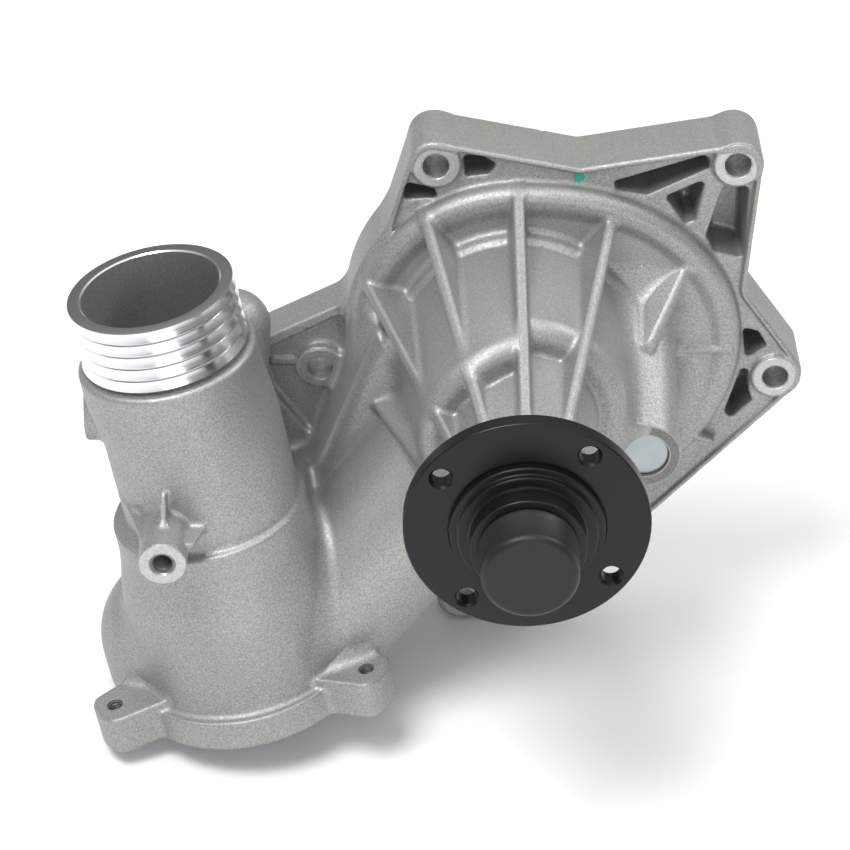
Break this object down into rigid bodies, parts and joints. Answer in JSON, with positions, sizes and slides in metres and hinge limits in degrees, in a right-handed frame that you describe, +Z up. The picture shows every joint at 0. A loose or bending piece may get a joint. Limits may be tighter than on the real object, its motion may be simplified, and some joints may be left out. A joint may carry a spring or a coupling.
{
  "type": "water pump",
  "caption": "Belt-driven engine coolant pump in one casting with a ribbed bearing nose, thermostat chamber, hose neck and pulley flange.",
  "frame": {"origin": "centre of the front face of the pulley flange, on the shaft axis", "axes": "-Y out of the pulley side along the shaft, +Y toward the engine, +Z up, +X to the right seen from the pulley side"},
  "size_m": [0.2551, 0.1736, 0.2026],
  "materials": {
    "cast_aluminium": "as cast, fine grain",
    "zinc": "zinc plated",
    "black_steel": "satin black",
    "cap_plastic": "satin",
    "shaft_steel": "ground",
    "bearing_steel": "ground",
    "cage": "moulded",
    "rubber": "moulded",
    "seal_metal": "pressed",
    "carbon": "lapped carbon",
    "ceramic": "lapped ceramic",
    "impeller_metal": "as cast"
  },
  "bodies": {
    "housing": {"housing": "cast_aluminium", "weep_plug": "zinc", "profile_gasket": "rubber", "bearing_outer_ring": "bearing_steel", "bearing_seal_front": "rubber", "bearing_seal_rear": "rubber", "seal_cup": "seal_metal", "seal_bellows": "rubber", "seal_spring": "shaft_steel"},
    "rotor": {"shaft": "shaft_steel", "pulley_hub": "black_steel", "impeller": "impeller_metal", "impeller_bush": "bearing_steel", "seal_mating_ring": "ceramic", "mating_ring_boot": "rubber", "slinger_ring": "rubber"},
    "ball_set": {"bearing_balls": "bearing_steel", "ball_cage": "cage"},
    "roller_set": {"bearing_rollers": "bearing_steel", "roller_cage": "cage"},
    "carbon_ring": {"seal_carbon_ring": "carbon"},
    "cap": {"nose_cap": "cap_plastic"}
  },
  "joints": [
    {"name": "rotor_spin", "type": "hinge", "parent": "housing", "child": "rotor", "pos_m": [0, 0, 0], "axis": [0, -1, 0], "continuous": true},
    {"name": "ball_set_spin", "type": "hinge", "parent": "housing", "child": "ball_set", "pos_m": [0, 0.073, 0], "axis": [0, -1, 0], "continuous": true},
    {"name": "roller_set_spin", "type": "hinge", "parent": "housing", "child": "roller_set", "pos_m": [0, 0.049, 0], "axis": [0, -1, 0], "continuous": true},
    {"name": "carbon_ring_slide", "type": "slide", "parent": "housing", "child": "carbon_ring", "axis": [0, -1, 0], "range_m": [0, 0.0012], "stiffness_N_per_m": 2500, "springref_m": -0.006, "deforming": ["seal_spring", "seal_bellows"]},
    {"name": "cap_pull", "type": "slide", "parent": "rotor", "child": "cap", "axis": [0, -1, 0], "range_m": [0, 0.03]}
  ],
  "couplings": [
    {"joint": "ball_set_spin", "follows": "rotor_spin", "ratio": 0.361},
    {"joint": "roller_set_spin", "follows": "rotor_spin", "ratio": 0.38}
  ]
}
